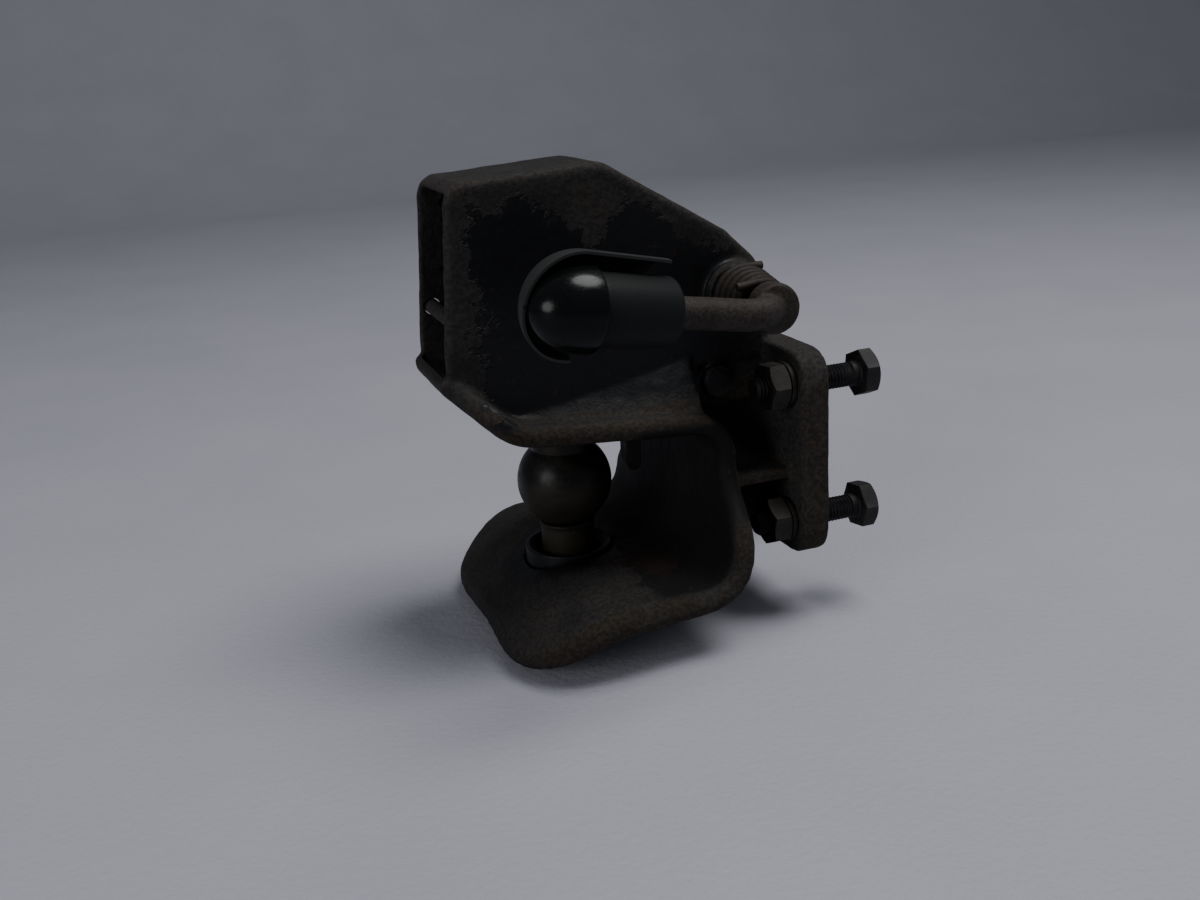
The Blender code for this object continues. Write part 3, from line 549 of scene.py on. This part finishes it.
def pin_bush(iron_dirt_and_shade):
    """Countersunk bush in the jaw, round the pin's tip."""
    low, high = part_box("pin_bush")
    profile = [(BUSH_INNER + BUSH_COUNTERSINK, high.z), (BUSH_OUTER, high.z), (BUSH_OUTER, low.z),
               (BUSH_INNER, low.z), (BUSH_INNER, high.z - BUSH_COUNTERSINK)]
    profile = rounded(profile + [profile[0]], 0.5 * MM)
    bush = ring_stack("pin_bush_turned", profile, ROUND, Matrix.Translation((PIN_X, 0, 0)), closed=True)
    # the iron's painted shade round the pin's foot darkens the bush as well
    finish_piece(bush, iron_dirt_and_shade, "hitch_body", "steel", "pin_bush")


def bend_point(share):
    turn = (math.pi / 2 - LEVER_SPLAY) * share
    x = SHAFT_X - LEVER_BEND * (1 - math.cos(turn))
    return Vector((x, LEVER_BEND_Y - LEVER_BEND * math.sin(turn), SHAFT_Z))


def lever_direction():
    level = math.cos(LEVER_RISE)
    return Vector((-level * math.cos(LEVER_SPLAY), -level * math.sin(LEVER_SPLAY), math.sin(LEVER_RISE)))


def lever_point(x):
    start, direction = bend_point(1), lever_direction()
    return start + direction * ((x - start.x) / direction.x)


def lever_frame(x):
    """Local +Z along the lever, away from the shaft."""
    return Matrix.Translation(lever_point(x)) @ lever_direction().to_track_quat("Z", "Y").to_matrix().to_4x4()


def lever(bar):
    """Forged bar: shaft, shoulder and bend, melted into one skin."""
    shaft_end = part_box("hand_lever")[1].y
    points = [(SHAFT_X, shaft_end, SHAFT_Z)] + [bend_point(i / 16) for i in range(15)]
    points += [bend_point(1) + lever_direction() * 3 * MM, bend_point(1) + lever_direction() * 9 * MM,
               lever_point(LEVER_END_X)]
    straight = tube("lever_bar", points, SHAFT_RADIUS, 10)
    turn = Matrix.Translation((SHAFT_X, 0, SHAFT_Z)) @ Matrix.Rotation(math.radians(90), 4, "X")
    profile = rounded([(0, COLLAR_START), (COLLAR_RADIUS, COLLAR_START), (COLLAR_RADIUS, COLLAR_END),
                       (0, COLLAR_END)], 1.6 * MM)
    collar = ring_stack("lever_shoulder", profile, 72, turn)
    made = recast(joined("lever", [straight, collar]), 0.6 * MM, 6, coarse=0.2 * MM)
    finish_piece(made, bar, "lever_arm", "steel", "hand_lever")


def grip_cap(plastic):
    """Egg-shaped end with a thin lip."""
    depth = (lever_point(LEVER_END_X) - lever_point(CAP_SEAM_X)).length + 1 * MM
    socket = SHAFT_RADIUS + GRIP_GAP
    dome = []
    for i in range(37):
        angle = math.radians(90 - 90 * i / 36)
        dome.append((CAP_RADIUS * math.cos(angle), CAP_LENGTH * math.sin(angle)))
    edge = [(CAP_RADIUS, 0), (CAP_RADIUS, -CAP_LIP), (CAP_RADIUS - 3 * MM, -CAP_LIP), (socket, -CAP_LIP)]
    profile = dome + rounded(edge, 0.5 * MM)[1:] + [(socket, depth), (0, depth)]
    cap = ring_stack("knob_cap", profile, 120, lever_frame(CAP_SEAM_X))
    finish_piece(cap, plastic, "lever_arm", "black_plastic", "grip_cap")


def grip_sleeve(plastic):
    """The sleeve behind the cap, rounded at its rear end."""
    socket = SHAFT_RADIUS + GRIP_GAP
    front = -CAP_LIP - GRIP_GAP
    rear = -(lever_point(SLEEVE_REAR_X) - lever_point(CAP_SEAM_X)).length
    outline = [(socket, front), (SLEEVE_FRONT_RADIUS, front), (SLEEVE_REAR_RADIUS, rear + 1 * MM),
               (SLEEVE_REAR_RADIUS - 2 * MM, rear), (socket, rear), (socket, front)]
    outline = rounded(outline, 1.8 * MM, steps=8)[:-1]
    sleeve = ring_stack("knob_sleeve", outline, 120, lever_frame(CAP_SEAM_X), closed=True)
    finish_piece(sleeve, plastic, "lever_arm", "black_plastic", "grip_sleeve")


def shell_ring(j):
    """Radius, height and tilt of one ring of the shell, from its rear end to its tip."""
    if j <= SHELL_STRAIGHT:
        share = j / SHELL_STRAIGHT
        length = (lever_point(SHELL_REAR_X) - lever_point(SHELL_CENTRE_X)).length
        return SHELL_REAR_RADIUS + (SHELL_RADIUS - SHELL_REAR_RADIUS) * share, -length * (1 - share), 0.0
    tilt = math.radians(88) * (j - SHELL_STRAIGHT) / (SHELL_ALONG - SHELL_STRAIGHT)
    return SHELL_RADIUS * math.cos(tilt), SHELL_RADIUS * math.sin(tilt), tilt


def shell_rows(shape, j):
    """Outer and inner vertices of one ring; the foot of the skin reaches further round at the front."""
    radius, height, tilt = shell_ring(j)
    foot = max(0.0, min(1.0, (height + SHELL_FOOT) / (3 * MM)))
    first = math.radians(90)
    last = math.radians(180 + 86 * foot ** 0.5)
    outer, inner = [], []
    for i in range(SHELL_AROUND + 1):
        angle = first + (last - first) * i / SHELL_AROUND - SHELL_TILT
        across = Vector((math.cos(angle), math.sin(angle), 0))
        out = across * math.cos(tilt) + Vector((0, 0, math.sin(tilt)))
        point = across * radius + Vector((0, 0, height))
        outer.append(shape.verts.new(point))
        inner.append(shape.verts.new(point - out * SHELL_WALL))
    return outer, inner


def half_shell(plastic):
    """The skin left round the far side of the knob; local +X is the open side."""
    shape = bmesh.new()
    rows = [shell_rows(shape, j) for j in range(SHELL_ALONG + 1)]
    for (outer, inner), (next_outer, next_inner) in zip(rows, rows[1:]):
        for i in range(SHELL_AROUND):
            shape.faces.new((outer[i], outer[i + 1], next_outer[i + 1], next_outer[i]))
            shape.faces.new((inner[i], next_inner[i], next_inner[i + 1], inner[i + 1]))
        for i in (0, SHELL_AROUND):
            shape.faces.new((outer[i], next_outer[i], next_inner[i], inner[i]))
    for outer, inner in (rows[0], rows[-1]):
        for i in range(SHELL_AROUND):
            shape.faces.new((outer[i], inner[i], inner[i + 1], outer[i + 1]))
    bmesh.ops.recalc_face_normals(shape, faces=shape.faces)
    bmesh.ops.transform(shape, matrix=lever_frame(SHELL_CENTRE_X), verts=shape.verts)
    mesh = bpy.data.meshes.new("knob_shell")
    shape.to_mesh(mesh)
    shape.free()
    shell = smooth(add_object("knob_shell", mesh), 50)
    finish_piece(shell, plastic, "lever_arm", "black_plastic", "grip_shell")


def spring(wire):
    """Torsion spring round the shaft, between the hood and the lever."""
    per_turn = 28
    count = SPRING_TURNS * per_turn
    coil = []
    for i in range(count + 1):
        angle = math.radians(90) + 2 * math.pi * i / per_turn
        mean = SPRING_FIRST_MEAN + (SPRING_LAST_MEAN - SPRING_FIRST_MEAN) * i / count
        y = SPRING_FIRST_Y - SPRING_PITCH * i / per_turn
        coil.append(Vector((SHAFT_X + mean * math.cos(angle), y, SHAFT_Z + mean * math.sin(angle))))
    first = [coil[0] + Vector((8 * MM, 0, 0)), coil[0] + Vector((3 * MM, 0, 0))]
    last = [coil[-1] + Vector((-3 * MM, 0, 0)), coil[-1] + Vector((-11 * MM, 0, -1 * MM))]
    made = tube("spring", first + coil + last, SPRING_WIRE, 4)
    finish_piece(made, wire, None, "spring_steel", "torsion_spring")
    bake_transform(made)


def hex_radius(angle):
    """Distance from the centre to a hexagon's side, with corners at 0, 60 and so on."""
    within = (angle + math.pi / 6) % (math.pi / 3) - math.pi / 6
    return HEX_FLATS / 2 / math.cos(math.pi / 6 - abs(within))


def hex_edge(height, drop):
    """The chamfered outline of a hexagon: lower by 30 degrees the further out it is."""
    def ring(angle):
        radius = hex_radius(angle)
        return radius, height - drop * (radius - HEX_INNER) * math.tan(math.radians(30))
    return ring


def thread_ring(height):
    """A ring of the helical thread's skin."""
    def ring(angle):
        turns = (height / BOLT_PITCH - angle / (2 * math.pi)) % 1.0
        return BOLT_RADIUS - THREAD_DEPTH * (1 - abs(2 * turns - 1)), height
    return ring


def hex_bolt(i, turn, zinc):
    """Chamfered head, plain neck and a real helical thread."""
    low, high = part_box(f"bolt_{i}")
    dish = high.x - 0.3 * MM
    foot = high.x - HEAD_THICK
    rings = [(0, dish), (HEX_INNER * 0.8, dish), (HEX_INNER * 0.86, high.x), (HEX_INNER, high.x),
             hex_edge(high.x, 1), hex_edge(foot + 0.3 * MM, 0), (HEX_INNER, foot),
             (BOLT_RADIUS + 0.6 * MM, foot), (BOLT_RADIUS, foot - 0.6 * MM), (BOLT_RADIUS, foot - 3 * MM)]
    first, last, step = foot - 3.4 * MM, low.x + 0.9 * MM, 0.25 * MM
    rings += [thread_ring(first - step * k) for k in range(int((first - last) / step) + 1)]
    rings += [(BOLT_RADIUS - 1.1 * MM, low.x), (0, low.x)]
    finish_piece(ring_stack(f"hex_bolt_{i}", rings, 48, turn), zinc, "hitch_body", "bolt_steel", f"bolt_{i}")


def hex_nut(i, turn, zinc):
    low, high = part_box(f"nut_{i}")
    bore = BOLT_RADIUS + 0.2 * MM
    lead_in = 0.7 * MM
    rings = [(bore + lead_in, high.x), (HEX_INNER, high.x), hex_edge(high.x, 1), hex_edge(low.x, -1),
             (HEX_INNER, low.x), (bore + lead_in, low.x), (bore, low.x + lead_in), (bore, high.x - lead_in)]
    turned = turn @ Matrix.Rotation(math.radians(13 * i + 5), 4, "Z")
    nut = ring_stack(f"hex_nut_{i}", rings, 48, turned, closed=True)
    finish_piece(nut, zinc, "hitch_body", "bolt_steel", f"nut_{i}")


def washer(i, turn, zinc):
    low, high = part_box(f"washer_{i}")
    hole = BOLT_RADIUS + 0.3 * MM
    profile = [(hole, high.x), (WASHER_RADIUS, high.x), (WASHER_RADIUS, low.x), (hole, low.x)]
    profile = rounded(profile + [profile[0], profile[1]], 0.35 * MM)[1:-1]
    made = ring_stack(f"washer_ring_{i}", profile, 64, turn, closed=True)
    finish_piece(made, zinc, "hitch_body", "bolt_steel", f"washer_{i}")


def fasteners(zinc, nut_zinc):
    """Four sets of bolt, nut and washer, each turned by its own angle."""
    for i in range(1, 5):
        low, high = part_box(f"bolt_{i}")
        centre = (0, (low.y + high.y) / 2, (low.z + high.z) / 2)
        turn = Matrix.Translation(centre) @ Matrix.Rotation(math.radians(90), 4, "Y")
        turn = turn @ Matrix.Rotation(math.radians(7 * i), 4, "Z")
        hex_bolt(i, turn, zinc)
        hex_nut(i, turn, nut_zinc)
        washer(i, turn, nut_zinc)


def dress_rest(materials):
    """Materials for the CAD nodes that are shown as they are."""
    for name, material in materials.items():
        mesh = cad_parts[name].data
        mesh.materials.clear()
        mesh.materials.append(material)


# ---------------------------------------------------------------- stage

def pale_floor():
    """A floor that curves up behind the object."""
    low = cad_box[0].z - 1.5 * MM
    front_y, bend_y, bend_radius, top, half_width = -3.0, 1.6, 0.8, 3.0, 4.0
    outline = [(front_y, low), (bend_y, low)]
    for i in range(1, 13):
        angle = math.radians(90 * i / 12)
        outline.append((bend_y + bend_radius * math.sin(angle), low + bend_radius * (1 - math.cos(angle))))
    outline.append((bend_y + bend_radius, top))
    mesh = bpy.data.meshes.new("floor")
    shape = bmesh.new()
    rows = [[shape.verts.new((x, y, z)) for x in (-half_width, half_width)] for y, z in outline]
    for a, b in zip(rows, rows[1:]):
        shape.faces.new((a[0], a[1], b[1], b[0]))
    shape.to_mesh(mesh)
    shape.free()
    mesh.shade_smooth()
    floor = add_object("floor", mesh)
    g = Graph("pale_floor")
    soft = g.noise(9, 4)
    beads = g.noise(380, 3, 0.5)
    colour = g.blend(soft, (0.33, 0.33, 0.375), (0.38, 0.38, 0.425))
    rough = g.total((soft, 0.1), (1.0, 0.6))
    floor.data.materials.append(g.surface(colour, rough, ((beads, 1.0),), 0.0004))


def lights():
    """Soft daylight from the room, a broad lamp overhead and a weaker one from the front left."""
    world = bpy.data.worlds.new("room")
    bpy.context.scene.world = world
    world.use_nodes = True
    background = world.node_tree.nodes["Background"]
    background.inputs["Color"].default_value = (0.82, 0.86, 0.95, 1.0)
    background.inputs["Strength"].default_value = 0.21
    for name, place, aim, size, power in (
            ("key", (0.42, -0.22, 1.45), (-0.05, 0, 0), 0.9, 21.0),
            ("fill", (-1.55, -0.75, 0.50), (-0.1, 0, 0), 0.8, 9.0)):
        light = bpy.data.lights.new(name, "AREA")
        light.shape = "DISK"
        light.size = size
        light.energy = power
        lamp = bpy.data.objects.new(name, light)
        lamp.location = place
        lamp.rotation_euler = (Vector(place) - Vector(aim)).to_track_quat("Z", "Y").to_euler()
        bpy.context.scene.collection.objects.link(lamp)


def camera():
    level = math.cos(CAMERA_ELEVATION)
    ahead = Vector((math.sin(CAMERA_AZIMUTH), -math.cos(CAMERA_AZIMUTH), 0))
    back = ahead * level + Vector((0, 0, math.sin(CAMERA_ELEVATION)))
    right = Vector((math.cos(CAMERA_AZIMUTH), math.sin(CAMERA_AZIMUTH), 0))
    up = back.cross(right)
    axes = Matrix((right, up, back)).transposed() @ Matrix.Rotation(CAMERA_ROLL, 3, "Z")
    data = bpy.data.cameras.new("camera")
    data.lens = CAMERA_LENS
    data.sensor_width = 36
    data.clip_start = 0.01
    made = bpy.data.objects.new("camera", data)
    made.matrix_world = Matrix.Translation(CAMERA_AIM + back * CAMERA_DISTANCE) @ axes.to_4x4()
    bpy.context.scene.collection.objects.link(made)
    bpy.context.scene.camera = made


def main():
    iron = cast_iron()
    pin_steel = greasy_steel("pin_steel_greasy", (0.0055, 0.0062, 0.0055), (0.022, 0.018, 0.012), 0.30,
                             film_below=BALL_Z)
    steel = greasy_steel("plain_steel_dusty", (0.014, 0.013, 0.012), (0.032, 0.027, 0.022), 0.52)
    bar = rusty_bar("lever_bar_rusty", (0.039, 0.033, 0.028), (0.029, 0.021, 0.015), 0.00025)
    wire = rusty_bar("spring_wire_rusty", (0.022, 0.018, 0.015), (0.024, 0.016, 0.011), 0.00012)
    zinc = dull_zinc("bolt_zinc_dull", (0.015, 0.015, 0.018), (0.028, 0.027, 0.028))
    nut_zinc = dull_zinc("nut_zinc_dusty", (0.019, 0.016, 0.013), (0.036, 0.030, 0.024))
    cap_plastic = moulded_plastic("plastic_cap_gloss", 0.17, 0.1, 0.15, (0.0025, 0.0031, 0.0031))
    # painted reflection: the sleeve's base colour is raised to stand in for the floor reflected on its lower
    # half
    sleeve_plastic = moulded_plastic("plastic_sleeve_worn_painted_reflection", 0.50, 0.1, 0.10, (0.0095, 0.0102, 0.0104))
    # painted reflection: the shell's lighter base colour stands in for the bright reflection on its rim, over
    # a real veil of dust
    shell_plastic = moulded_plastic("plastic_shell_worn_painted_reflection", 0.50, 0.5, 0.22, (0.020, 0.022, 0.021))

    casting(iron)
    arm_and_pawl(iron, steel)
    coupling_pin(pin_steel)
    pin_bush(iron)
    lever(bar)
    grip_cap(cap_plastic)
    grip_sleeve(sleeve_plastic)
    half_shell(shell_plastic)
    spring(wire)
    fasteners(zinc, nut_zinc)
    plain = ("shaft_bush_near", "shaft_bush_far", "pawl_pin", "pawl_spacer_near", "pawl_spacer_far",
             "latch_pin", "arm_key_pin", "ball_cross_pin", "lever_washer", "lever_split_pin")
    dress_rest({**{name: steel for name in plain}, "front_pin": iron, "pawl_spring": wire})
    pale_floor()
    lights()
    camera()


main()
